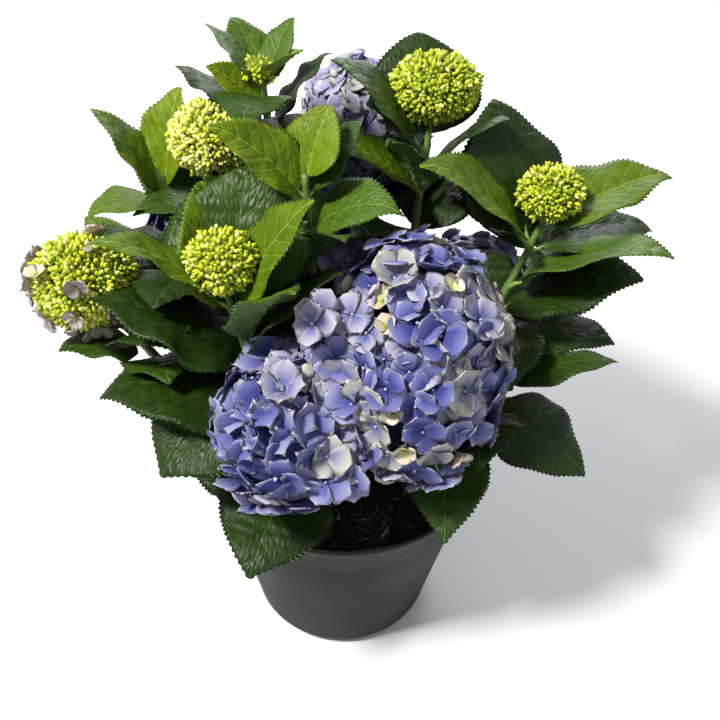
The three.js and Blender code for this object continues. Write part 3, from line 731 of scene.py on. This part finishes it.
def leaf_mesh(shoot, leaf, chance):
    """One leaf as a closed thin shell with its stalk: points, faces, finishes and the two maps."""
    place, azimuth, rise, length, width, droop, roll, tint = leaf
    foot = cane_point(shoot, place) * MM
    length, half = length * MM, width * MM / 2
    young = (DEEP - tint) / DEEP
    heading, bend = math.radians(azimuth), math.radians(droop)
    out = np.array([math.cos(heading), math.sin(heading), 0.0])
    level = np.array([-out[1], out[0], 0.0])
    up = np.array([0.0, 0.0, 1.0])
    slope_at_foot = math.radians(rise) + bend / 2
    arc = length * (bend / 2) / math.sin(bend / 2)
    fold = math.radians(chance.uniform(4, 13) + 16 * young)
    twist = math.radians(chance.normal(0, 7))
    sway = chance.normal(0, 0.035)
    wave = chance.uniform(0.014, 0.036) * (1.0 if tint > BRIGHT else 0.7)
    wave_starts = chance.random(2) * math.tau
    quilt = (QUILT_HEIGHT - QUILT_LOST_WHEN_YOUNG * young) * length
    tooth = (TOOTH_REACH + TOOTH_GAINED_WHEN_YOUNG * young) * length
    tip_curl = math.radians(chance.uniform(5, 35))

    def spine(share):
        """Midrib point, its way forward, the leaf's normal and its direction across."""
        share = np.asarray(share, float)[..., None]
        slope = slope_at_foot - bend * share
        radius = arc / bend
        forward = radius * (math.sin(slope_at_foot) - np.sin(slope))
        lift = radius * (np.cos(slope) - math.cos(slope_at_foot))
        curl = tip_curl * np.clip((share - 0.75) / 0.25, 0, 1) ** 2
        lift = lift - 0.12 * length * curl * np.clip((share - 0.75) / 0.25, 0, 1)
        middle = foot + out * forward + up * lift + level * sway * length * share**2
        way = out * np.cos(slope - curl) + up * np.sin(slope - curl)
        normal = up * np.cos(slope - curl) - out * np.sin(slope - curl)
        turn = math.radians(roll) + twist * share
        across = level * np.cos(turn) + normal * np.sin(turn)
        normal = normal * np.cos(turn) - level * np.sin(turn)
        return middle, way, normal, across

    teeth = int(10 + length / MM / 4.6)
    rows = np.linspace(0.0, 1.0, 2 * teeth + 1)
    along, across_share = np.meshgrid(rows, BLADE_COLUMNS, indexing="ij")
    tip_power = OLD_TIP_POWER + (YOUNG_TIP_POWER - OLD_TIP_POWER) * young
    best = BLADE_BASE_POWER / (BLADE_BASE_POWER + tip_power)
    outline = (along / best) ** BLADE_BASE_POWER * ((1 - along) / (1 - best)) ** tip_power
    spread = half * outline + 0.0006
    is_edge = np.abs(across_share) == 1.0
    is_tooth = is_edge & (np.arange(2 * teeth + 1) % 2 == 1)[:, None]
    toothed = np.clip(along / 0.16, 0, 1) * np.clip((1.02 - along) / 0.25, 0, 1) ** 0.5
    uneven = chance.uniform(0.7, 1.25, along.shape)
    reach = spread + np.where(is_tooth, tooth * toothed * uneven, 0.0)
    shifted = along + np.where(is_tooth, 0.55 / (2 * teeth), 0.0)
    off = np.abs(across_share)
    half_fold = fold * (1 - 0.55 * along)
    sideways = across_share * reach * np.cos(half_fold)
    lateral = np.abs(sideways) / length
    phase = (shifted - lateral * (VEIN_SLANT + VEIN_SWEEP * VEIN_SLANT * lateral)) * SIDE_VEINS
    from_vein = 2.0 * np.abs(phase - np.round(phase))
    ladder = 0.5 + 0.5 * np.cos(math.tau * lateral * 15.0 + 2.4 * np.floor(phase))
    puff = quilt * bump_between(from_vein) * (1.0 - off**4) * (0.78 + 0.22 * ladder)
    puff = puff * np.clip(along / 0.10, 0, 1) * np.clip((1 - along) / 0.10, 0, 1)
    ripple = np.where(
        across_share < 0,
        np.sin(math.tau * 2.3 * along + wave_starts[0]),
        np.sin(math.tau * 2.7 * along + wave_starts[1]),
    )
    height = (
        off * reach * np.sin(half_fold)
        - CAMBER * reach * off**2 * (1 - 0.5 * young)
        + wave * length * ripple * off**2 * np.sin(math.pi * along)
        + puff
        - 0.0007 * np.exp(-((across_share / 0.07) ** 2)) * (1 - along)
    )
    share = PETIOLE_SHARE + (1 - PETIOLE_SHARE) * np.minimum(shifted, 1.0)
    middle, way, normal, across = spine(share)
    top = middle + across * sideways[..., None] + normal * height[..., None]
    vein_ridge = 0.0006 * np.exp(-((from_vein / 0.22) ** 2)) * (1 - off**2)
    midrib_ridge = 0.0020 * np.exp(-((across_share / 0.08) ** 2)) * (1 - 0.8 * along)
    depth = BLADE_THICKNESS + vein_ridge + midrib_ridge
    low = top - normal * depth[..., None]

    top_corners, low_quads, inner = shell_faces(*along.shape)
    low_corners = top_corners[:, ::-1]
    points = np.concatenate([top.reshape(-1, 3), low[inner].reshape(-1, 3)])
    flat = np.stack([shifted, sideways / length], -1)
    cell = np.stack([along, (across_share + 1) / 2], -1)
    faces = [*top_corners.tolist(), *low_quads.tolist()]
    blade_quads = len(top_corners)
    under = len(UPPER_TINTS) + (0 if tint <= BRIGHT else 1)
    finish_index = [tint] * blade_quads + [under] * blade_quads
    leaf_map = np.concatenate([flat.reshape(-1, 2)[top_corners], flat.reshape(-1, 2)[low_corners]])
    cell_map = np.concatenate([
        cell.reshape(-1, 2)[top_corners] * BLADE_CELL,
        cell.reshape(-1, 2)[low_corners] * BLADE_CELL + LOW_CELL_CORNER,
    ])

    stalk_shares = np.linspace(0.0, PETIOLE_SHARE + 0.10, STALK_RINGS)
    stalk_middle, _, stalk_normal, _ = spine(stalk_shares)
    stalk_radii = np.linspace(0.0021, 0.0009, STALK_RINGS) * (0.55 + 0.45 * length / 0.100)
    sunk = np.clip((stalk_shares - PETIOLE_SHARE * 0.6) / 0.05, 0, 1)[:, None] * stalk_radii[:, None]
    stalk_points, stalk_faces = tube(stalk_middle - stalk_normal * sunk, stalk_radii, STALK_SIDES)
    faces.extend([[len(points) + k for k in face] for face in stalk_faces])
    points = np.concatenate([points, stalk_points])
    finish_index.extend([STALK_INDEX] * len(stalk_faces))
    stalk_corner_count = sum(len(face) for face in stalk_faces)
    stalk_uv = np.array([
        (0.95 + 0.03 * (k % 7) / 6, 0.05 + 0.85 * (k // 7) / 7) for face in stalk_faces for k in face
    ])
    leaf_corners = np.concatenate([leaf_map.reshape(-1, 2), np.zeros((stalk_corner_count, 2))])
    cell_corners = np.concatenate([cell_map.reshape(-1, 2), stalk_uv])
    return points, faces, finish_index, leaf_corners, cell_corners


def joined(parts):
    """Several meshes as one, each with its own square of the piece's shared map."""
    squares = math.ceil(math.sqrt(len(parts)))
    points, faces, finish_index, maps, cells = [], [], [], [], []
    count = 0
    for k, (part_points, part_faces, part_finish, part_map, part_cells) in enumerate(parts):
        corner = np.array([k % squares, k // squares], float)
        points.append(np.asarray(part_points))
        faces.extend([[count + i for i in face] for face in part_faces])
        finish_index.extend(part_finish)
        maps.append(part_map)
        cells.append((corner + 0.03 + 0.94 * np.asarray(part_cells)) / squares)
        count += len(part_points)
    return np.concatenate(points), faces, finish_index, np.concatenate(maps), np.concatenate(cells)


leaf_chance = np.random.default_rng(23)
for shoot in SHOOTS:
    leaves = list(LEAVES.get(shoot, ()))
    for place, azimuth, rise, length, tint in PAIRS.get(shoot, ()):
        for turn in (0, 180):
            near_azimuth = azimuth + turn + leaf_chance.normal(0, 5)
            near_rise = rise + leaf_chance.normal(0, 4)
            leaves.append((
                place, near_azimuth, near_rise, length, length * PAIR_WIDTH_RATIO, PAIR_DROOP, 0, tint,
            ))
    # Small leaves fill the inside of the clump lower down, each pair at right angles to the last.
    lowest = min(leaf[0] for leaf in leaves)
    for place in np.arange(lowest - 0.12, INNER_LOWEST, -INNER_STEP):
        for turn in (0, 180):
            azimuth = leaves[-1][1] + 90 + turn + leaf_chance.normal(0, 12)
            length = leaf_chance.uniform(48, 66)
            rise = 22 + leaf_chance.normal(0, 6)
            leaves.append((place, azimuth, rise, length, INNER_WIDTH_RATIO * length, INNER_DROOP, 0, DEEP))
    parts = [leaf_mesh(shoot, leaf, leaf_chance) for leaf in leaves]
    points, faces, finish_index, leaf_map, cell_map = joined(parts)
    piece = mesh_piece(
        f"leaves_{shoot}", points, faces, leaf_finishes, finish_index,
        {"leaf_place": leaf_map, "OFBake": cell_map},
    )
    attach(piece, "root")
    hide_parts(f"foliage_{shoot}")

# ---- Blooms -----------------------------------------------------------------------------------------
# Mophead blooms: a loose ball of four-sepalled florets on thin stalks that meet in a heart. The heart's
# near-black blue is painted shade. The sepals are thin, cupped and wavy, blue with a cream margin. A few
# florets are still young and cream.
SEPAL_ROWS = (0.0, 0.18, 0.38, 0.58, 0.76, 0.90, 1.0)
SEPAL_HALF_WIDTHS = (0.12, 0.50, 0.82, 1.0, 0.95, 0.70, 0.28)
SEPAL_COLUMNS = (-1.0, -0.55, 0.0, 0.55, 1.0)
SEPAL_THICKNESS = 0.25 * MM
SEPAL_TRANSLUCENCY = 0.22
SEPALS = 4
SEPAL_CELL = (0.20, 0.44)
SEPAL_CELL_STEP = 0.23
LOW_SEPAL_CELL = 0.5
HEART_SHARE = 0.74
SEPAL_RIM = (0.70, 0.69, 0.62)
GOLDEN_TURN = math.pi * (3 - math.sqrt(5))
AREA_POWER = 1.6

# Tints: (heart, body, margin, share of the way out at which the margin starts). The heart is the sepals'
# deeper colour at the floret's middle; in the blue tints it is darker still as painted shade inside the
# floret.
SEPAL_TINTS = (
    ("sepal_periwinkle", (0.030, 0.036, 0.235), (0.070, 0.080, 0.325), (0.350, 0.355, 0.510), 0.84),
    ("sepal_blue", (0.020, 0.024, 0.190), (0.044, 0.053, 0.265), (0.210, 0.220, 0.430), 0.88),
    ("sepal_lavender", (0.060, 0.066, 0.270), (0.135, 0.142, 0.360), (0.490, 0.480, 0.510), 0.74),
    ("sepal_cream_edged", (0.080, 0.092, 0.280), (0.165, 0.182, 0.340), (0.540, 0.540, 0.410), 0.62),
    ("sepal_young", (0.400, 0.500, 0.080), (0.680, 0.690, 0.340), (0.620, 0.440, 0.560), 0.80),
    ("sepal_violet", (0.085, 0.055, 0.280), (0.180, 0.135, 0.400), (0.560, 0.520, 0.640), 0.72),
    ("sepal_mauve", (0.300, 0.380, 0.120), (0.400, 0.420, 0.240), (0.420, 0.300, 0.400), 0.60),
)
# The places in that list of the two tints of a young floret.
YOUNG, MAUVE = 4, 6


def sepal_finish(name, heart, body, margin, margin_start):
    finish, tree, shader = new_finish(name)
    place = add_node(tree, "UVMap", uv_map="sepal_place").outputs["UV"]
    split = add_node(tree, "SeparateXYZ", {"Vector": place}).outputs
    off = add_node(tree, "Math", {0: split["Y"]}, operation="ABSOLUTE").outputs["Value"]
    outer = add_node(tree, "Math", {0: split["X"], 1: off}, operation="MAXIMUM").outputs["Value"]
    lines = add_node(tree, "Mapping", {"Vector": place, "Scale": (1.6, 11.0, 1.0)}).outputs["Vector"]
    streak = noise(tree, lines, 1.0, 2.0, 0.5)
    uneven = stretched(tree, streak, 0.25, 0.75, -0.03, 0.03)
    reached = add_node(tree, "Math", {0: outer, 1: uneven}, operation="ADD").outputs["Value"]
    spot = add_node(tree, "TexCoord").outputs["Object"]
    patch = stretched(tree, noise(tree, spot, 55.0, 2.0), 0.35, 0.65, 0.0, 0.20)
    # Towards the floret's middle the colour runs to the heart: the sepals' own deeper colour, darkened as
    # painted shade in the blue tints.
    main = blended(tree, stretched(tree, split["X"], 0.08, 0.62), heart, body)
    main = blended(tree, patch, main, margin)
    fading = stretched(tree, reached, margin_start - 0.42, 1.0, 0.0, 0.85)
    rim = stretched(tree, reached, 0.90, 1.0, 0.0, 0.75)
    colour = blended(tree, fading, main, margin)
    colour = blended(tree, rim, colour, SEPAL_RIM)
    tree.links.new(colour, shader.inputs["Base Color"])
    tree.links.new(stretched(tree, streak, 0.3, 0.7, 0.50, 0.66), shader.inputs["Roughness"])
    tree.links.new(bumped(tree, streak, 0.0004, 0.6), shader.inputs["Normal"])
    shader.inputs["Specular IOR Level"].default_value = 0.25
    lit_through(tree, shader, colour, SEPAL_TRANSLUCENCY)
    return finish


def speckled_finish(name, low, high, scale, roughness):
    finish, tree, shader = new_finish(name)
    spot = add_node(tree, "TexCoord").outputs["Object"]
    speckle = stretched(tree, noise(tree, spot, scale, 3.0), 0.3, 0.7)
    tree.links.new(blended(tree, speckle, low, high), shader.inputs["Base Color"])
    shader.inputs["Roughness"].default_value = roughness
    shader.inputs["Specular IOR Level"].default_value = 0.30
    return finish


# The other finishes of a bloom: (low colour, high colour, fineness of the speckle, roughness).
INNER_TINTS = (
    ("floret_bead", (0.16, 0.20, 0.50), (0.45, 0.52, 0.55), 700.0, 0.45),
    ("floret_stalk", (0.10, 0.11, 0.20), (0.22, 0.24, 0.32), 300.0, 0.60),
    # Near-black blue heart: painted shade inside the bloom.
    ("bloom_heart_painted_shade", (0.012, 0.013, 0.050), (0.040, 0.044, 0.130), 160.0, 0.90),
)
bloom_finishes = [sepal_finish(*tint) for tint in SEPAL_TINTS]
bloom_finishes.extend(speckled_finish(*tint) for tint in INNER_TINTS)
BEAD_FINISH, FLORET_STALK_FINISH, SHADE_HEART_FINISH = range(len(SEPAL_TINTS), len(SEPAL_TINTS) + 3)


def frame_across(way, spin):
    """Two directions square to a way, turned round it by a spin."""
    side = np.cross(way, (0.0, 0.0, 1.0) if abs(way[2]) < 0.9 else (1.0, 0.0, 0.0))
    side /= np.linalg.norm(side)
    other = np.cross(way, side)
    return math.cos(spin) * side + math.sin(spin) * other, math.cos(spin) * other - math.sin(spin) * side


def floret(middle, way, span, tint, openness, pointed, chance):
    """One floret: four closed thin sepals, a bead and a stalk, with its maps."""
    way = way / np.linalg.norm(way)
    along, off = np.meshgrid(SEPAL_ROWS, SEPAL_COLUMNS, indexing="ij")
    widths = np.array(SEPAL_HALF_WIDTHS)[:, None] * (1 - pointed * np.array(SEPAL_ROWS)[:, None] ** 3)
    quads, low_quads, inner = shell_faces(*along.shape)
    points, faces, finish_index, place_map, cells = [], [], [], [], []
    spin = chance.random() * math.tau
    for k in range(SEPALS):
        length = span / 2 * chance.uniform(0.88, 1.10) * (1.0 if k % 2 else 1.06)
        half = 0.5 * length * chance.uniform(1.12, 1.36)
        rise = math.tan(math.radians(chance.normal(13, 5) + 62 * (1 - openness)))
        curl = chance.uniform(0.02, 0.34) * openness - 0.25 * (1 - openness)
        phase = chance.random() * math.tau
        radial = along + 0.24 * pointed * (1 - np.abs(off)) * (along > 0.9) - 0.06 * off**2 * (along > 0.8)
        sideways = half * widths * off
        height = (
            length * (rise * along - curl * along**2)
            + chance.uniform(-0.04, 0.20) * np.abs(sideways)
            + 0.055 * length * np.sin(3.6 * off + 2.6 * along + phase) * along * (0.35 + 0.65 * np.abs(off))
            + (0.0005 if k % 2 else -0.0003)
        )
        shrink = 1.0 / math.sqrt(1.0 + rise**2)
        front, aside = frame_across(way, spin + k * math.pi / 2 + chance.normal(0, 0.12))
        top = (
            middle + (length * shrink * radial)[..., None] * front
            + sideways[..., None] * aside + (shrink * height)[..., None] * way
        )
        low = top - SEPAL_THICKNESS * way
        start = sum(len(p) for p in points)
        points.extend([top.reshape(-1, 3), low[inner].reshape(-1, 3)])
        faces.extend((quads + start).tolist())
        faces.extend((low_quads + start).tolist())
        finish_index.extend([tint] * (2 * len(quads)))
        flat = np.stack([along, off], -1).reshape(-1, 2)
        place_map.extend([flat[quads].reshape(-1, 2), flat[quads[:, ::-1]].reshape(-1, 2)])
        square = np.stack([along, (off + 1) / 2], -1).reshape(-1, 2) * SEPAL_CELL
        cells.append(square[quads].reshape(-1, 2) + (SEPAL_CELL_STEP * k, 0.0))
        cells.append(square[quads[:, ::-1]].reshape(-1, 2) + (SEPAL_CELL_STEP * k, LOW_SEPAL_CELL))
    bead_span = span * 0.036
    bead_rings = [middle + way * bead_span * rise for rise in (-0.2, 0.7, 1.5, 2.0)]
    bead_points, bead_faces = tube(bead_rings, [bead_span * r for r in (0.7, 1.0, 0.85, 0.2)], 6)
    stalk_points, stalk_faces = tube([middle - way * 0.014, middle - way * 0.006, middle], [0.0005] * 3, 4)
    for extra, extra_faces, finish in (
        (bead_points, bead_faces, BEAD_FINISH if tint != YOUNG else YOUNG),
        (stalk_points, stalk_faces, FLORET_STALK_FINISH),
    ):
        start = sum(len(p) for p in points)
        points.append(np.array(extra))
        faces.extend([[start + i for i in face] for face in extra_faces])
        finish_index.extend([finish] * len(extra_faces))
        corners = sum(len(face) for face in extra_faces)
        place_map.append(np.full((corners, 2), 0.1))
        ramp = np.arange(corners) / corners
        lifted = 0.4 if finish == FLORET_STALK_FINISH else 0.0
        cells.append(np.stack([0.95 + 0.03 * (ramp * 7 % 1), 0.1 + 0.35 * ramp + lifted], -1))
    return np.concatenate(points), faces, finish_index, np.concatenate(place_map), np.concatenate(cells)


def solid_of(node):
    """A CAD solid's surface for casting rays, and its middle and half-sizes."""
    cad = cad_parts[node]
    corners = [cad.matrix_world @ vertex.co for vertex in cad.data.vertices]
    polygons = [tuple(polygon.vertices) for polygon in cad.data.polygons]
    surface = BVHTree.FromPolygons(corners, polygons)
    low, high = (np.array(corner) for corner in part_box(node))
    return surface, (low + high) / 2, (high - low) / 2, corners, polygons


def inner_heart(corners, polygons, middle, share, finish):
    """The closed dark inside of a head: its CAD solid shrunk about its middle."""
    points = middle + (np.array([tuple(c) for c in corners]) - middle) * share
    count = sum(len(p) for p in polygons)
    ramp = np.arange(count) / count
    return points, polygons, [finish] * len(polygons), np.zeros((count, 2)), np.stack([ramp, ramp], -1)


def spots_on(node, spacing, chance):
    """Evenly spread places on a head's solid, each with its outward direction and its ball direction."""
    surface, middle, half, *_ = solid_of(node)
    sides = sum((half[a] * half[b]) ** AREA_POWER for a, b in ((0, 1), (0, 2), (1, 2)))
    area = 4 * math.pi * (sides / 3) ** (1 / AREA_POWER)
    count = int(area / (0.87 * spacing**2))
    for k in range(count):
        lift = 1 - 2 * (k + 0.5) / count
        ring, turn = math.sqrt(1 - lift**2), k * GOLDEN_TURN
        ball = np.array([ring * math.cos(turn), ring * math.sin(turn), lift])
        ball = ball + chance.normal(0, 0.25 / math.sqrt(count), 3)
        ball = ball * half / np.linalg.norm(ball * half)
        hit, normal, _, _ = surface.ray_cast(Vector(middle + ball), Vector(-ball))
        if hit is None or (np.array(hit) - middle).dot(ball) < 0:
            continue
        outward = 0.5 * ball + 0.5 * np.array(normal)
        yield np.array(hit), outward / np.linalg.norm(outward), ball


bloom_chance = np.random.default_rng(31)
# Blooms: floret span and spacing in millimetres, sepals' pointedness, droop, and odds of each tint.
BLOOMS = {
    "front_right": (31, 20.0, 0.15, 0.10, (0.34, 0.22, 0.18, 0.16, 0.10, 0.0)),
    "front_left": (37, 23.0, 0.50, 0.35, (0.46, 0.30, 0.15, 0.07, 0.02, 0.0)),
    "middle": (31, 19.0, 0.15, 0.0, (0.42, 0.26, 0.18, 0.10, 0.04, 0.0)),
    "back": (31, 18.0, 0.15, 0.0, (0.10, 0.04, 0.34, 0.18, 0.04, 0.30)),
    "back_left": (31, 19.0, 0.15, 0.05, (0.38, 0.26, 0.20, 0.12, 0.04, 0.0)),
    "back_right": (31, 19.5, 0.15, 0.05, (0.40, 0.20, 0.20, 0.14, 0.06, 0.0)),
}
# Florets of the two front blooms that push into the seam between them, from the top down.
SEAM_BLOOM = "front_left"
SEAM_TOP, SEAM_FOOT = np.array((-8.0, -74.0, 344.0)), np.array((2.0, -122.0, 250.0))
SEAM_WAY = (-0.25, -0.80, 0.50)
SEAM_FLORETS = 26
SEAM_ODDS = (0.42, 0.26, 0.20, 0.12)
SEAM_SPAN = 31 * MM
SEAM_OPENNESS = 0.95
SEAM_POINTED = 0.15

for bloom, (span, spacing, pointed, droop, odds) in BLOOMS.items():
    node = f"mophead_{bloom}"
    _, middle, _, corners, polygons = solid_of(node)
    # The bloom's inner solid, near-black blue: painted shade inside the ball of florets.
    parts = [inner_heart(corners, polygons, middle, HEART_SHARE, SHADE_HEART_FINISH)]
    for spot, outward, ball in spots_on(node, spacing * MM, bloom_chance):
        # Lavender and cream-edged florets are dealt more often on the right side of each bloom: painted
        # light, that side shown lit and paler.
        painted_light_side = 0.5 + 0.5 * ball[0]
        shares = np.array(odds) * (1, 1, 0.5 + painted_light_side, 0.3 + 1.6 * painted_light_side, 0.6 + 0.8 * max(ball[2], 0), 1)
        tint = int(bloom_chance.choice(6, p=shares / shares.sum()))
        size = span * MM * bloom_chance.uniform(0.84, 1.12)
        openness = bloom_chance.uniform(0.86, 1.0)
        if tint == YOUNG:
            size *= 0.66
            openness = 0.55
        elif bloom_chance.random() < 0.14:
            openness = 0.62
        way = outward + bloom_chance.normal(0, 0.12, 3)
        way[2] -= droop * (1 - ball[2]) * 0.5
        depth = bloom_chance.uniform(0.0015, 0.0060) + 0.004 * (bloom == "front_left")
        depth += 0.10 * size * (1 - openness)
        parts.append(floret(spot - outward * depth, way, size, tint, openness, pointed, bloom_chance))
    if bloom == SEAM_BLOOM:
        for share in np.linspace(0, 1, SEAM_FLORETS):
            spread = np.array((8 - 3 * share, 3.0, 4.0))
            spot = SEAM_TOP + (SEAM_FOOT - SEAM_TOP) * share + bloom_chance.normal(0, 1, 3) * spread
            way = np.array(SEAM_WAY) + bloom_chance.normal(0, 0.2, 3)
            tint = int(bloom_chance.choice(4, p=SEAM_ODDS))
            parts.append(
                floret(spot * MM, way, SEAM_SPAN, tint, SEAM_OPENNESS, SEAM_POINTED, bloom_chance)
            )
    points, faces, finish_index, place_map, cell_map = joined(parts)
    piece = mesh_piece(
        f"bloom_{bloom}", points, faces, bloom_finishes, finish_index,
        {"sepal_place": place_map, "OFBake": cell_map},
    )
    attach(piece, "root")
    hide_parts(node)

# ---- Bud heads --------------------------------------------------------------------------------------
# Heads not yet in flower: hundreds of tight yellow-green buds in small bunches over a green heart. The
# one low on the left is opening, with young mauve-edged florets among its buds.
BUD_SPACING = 3.5
BUNCH_SPACING = 9.5
BUNCH_DEPTH = 0.0060
BUNCH_SPLAY = 90
BUD_HEART_SHARE = 0.80
YOUNG_FLORET_SPACING = 15.0
YOUNG_FLORET_OPENNESS = 0.6
YOUNG_FLORET_POINTED = 0.2
BUD_TINTS = (
    ("bud_lime", (0.340, 0.400, 0.012), (0.580, 0.610, 0.040), 500.0, 0.42),
    ("bud_green", (0.200, 0.290, 0.010), (0.360, 0.430, 0.025), 500.0, 0.42),
    ("bud_pale", (0.620, 0.640, 0.110), (0.780, 0.780, 0.300), 500.0, 0.42),
)
bud_finishes = [*bloom_finishes, *(speckled_finish(*tint) for tint in BUD_TINTS)]
bud_finishes.append(speckled_finish("bud_heart", (0.060, 0.085, 0.004), (0.150, 0.190, 0.010), 200.0, 0.90))
FIRST_BUD = len(bloom_finishes)
BUD_HEART = len(bud_finishes) - 1
BUD_RINGS = ((-0.9, 0.60), (0.15, 1.0), (1.05, 0.35))


def bud(middle, way, length, tint):
    """One bud: a small pointed egg."""
    way = way / np.linalg.norm(way)
    centres = [middle + way * length * 0.5 * rise for rise, _ in BUD_RINGS]
    points, faces = tube(centres, [length * 0.34 * wide for _, wide in BUD_RINGS], 5)
    corners = sum(len(face) for face in faces)
    ramp = np.arange(corners) / corners
    cells = np.stack([ramp, 0.5 + 0.3 * np.sin(ramp * 40)], -1)
    return np.array(points), faces, [FIRST_BUD + tint] * len(faces), np.zeros((corners, 2)), cells


bud_chance = np.random.default_rng(47)
# Bud heads: bud length in millimetres, odds of each tint, and share of young florets among the buds.
BUD_HEADS = {
    "top_right": (5.0, (0.42, 0.52, 0.06), 0.0), "right": (4.8, (0.50, 0.40, 0.10), 0.0),
    "upper_left": (5.0, (0.35, 0.0, 0.65), 0.0), "front_middle": (4.6, (0.65, 0.25, 0.10), 0.0),
    "left": (5.2, (0.40, 0.35, 0.25), 0.30), "top": (4.8, (0.70, 0.30, 0.0), 0.0),
    "rear": (4.8, (0.55, 0.30, 0.15), 0.0),
}
for head, (length, odds, young_share) in BUD_HEADS.items():
    node = f"buds_{head}"
    _, middle, _, corners, polygons = solid_of(node)
    parts = [inner_heart(corners, polygons, middle, BUD_HEART_SHARE, BUD_HEART)]
    centres = np.array([spot for spot, _, _ in spots_on(node, BUNCH_SPACING * MM, bud_chance)])
    for spot, outward, _ in spots_on(node, BUD_SPACING * MM, bud_chance):
        from_bunches = np.linalg.norm(centres - spot, axis=1)
        bunch = centres[from_bunches.argmin()]
        sunk = BUNCH_DEPTH * min(from_bunches.min() / (BUNCH_SPACING * MM * 0.62), 1.3) ** 2
        way = outward + (spot - bunch) * BUNCH_SPLAY + bud_chance.normal(0, 0.25, 3)
        tint = int(bud_chance.choice(3, p=odds))
        size = length * MM * bud_chance.uniform(0.75, 1.2)
        spot = spot + bud_chance.normal(0, 0.0006, 3)
        parts.append(bud(spot - outward * (sunk + 0.4 * size), way, size, tint))
    if young_share:
        for spot, outward, ball in spots_on(node, YOUNG_FLORET_SPACING * MM, bud_chance):
            if bud_chance.random() > young_share + 0.5 * max(-ball[0] - 0.1, 0) + 0.5 * max(-ball[2], 0):
                continue
            size = bud_chance.uniform(11, 19) * MM
            tint = MAUVE if bud_chance.random() < 0.6 else YOUNG
            way = outward + bud_chance.normal(0, 0.3, 3)
            parts.append(floret(
                spot - outward * 0.001, way, size, tint,
                YOUNG_FLORET_OPENNESS, YOUNG_FLORET_POINTED, bud_chance,
            ))
    points, faces, finish_index, place_map, cell_map = joined(parts)
    piece = mesh_piece(
        f"bud_head_{head}", points, faces, bud_finishes, finish_index,
        {"sepal_place": place_map, "OFBake": cell_map},
    )
    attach(piece, "root")
    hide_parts(node)
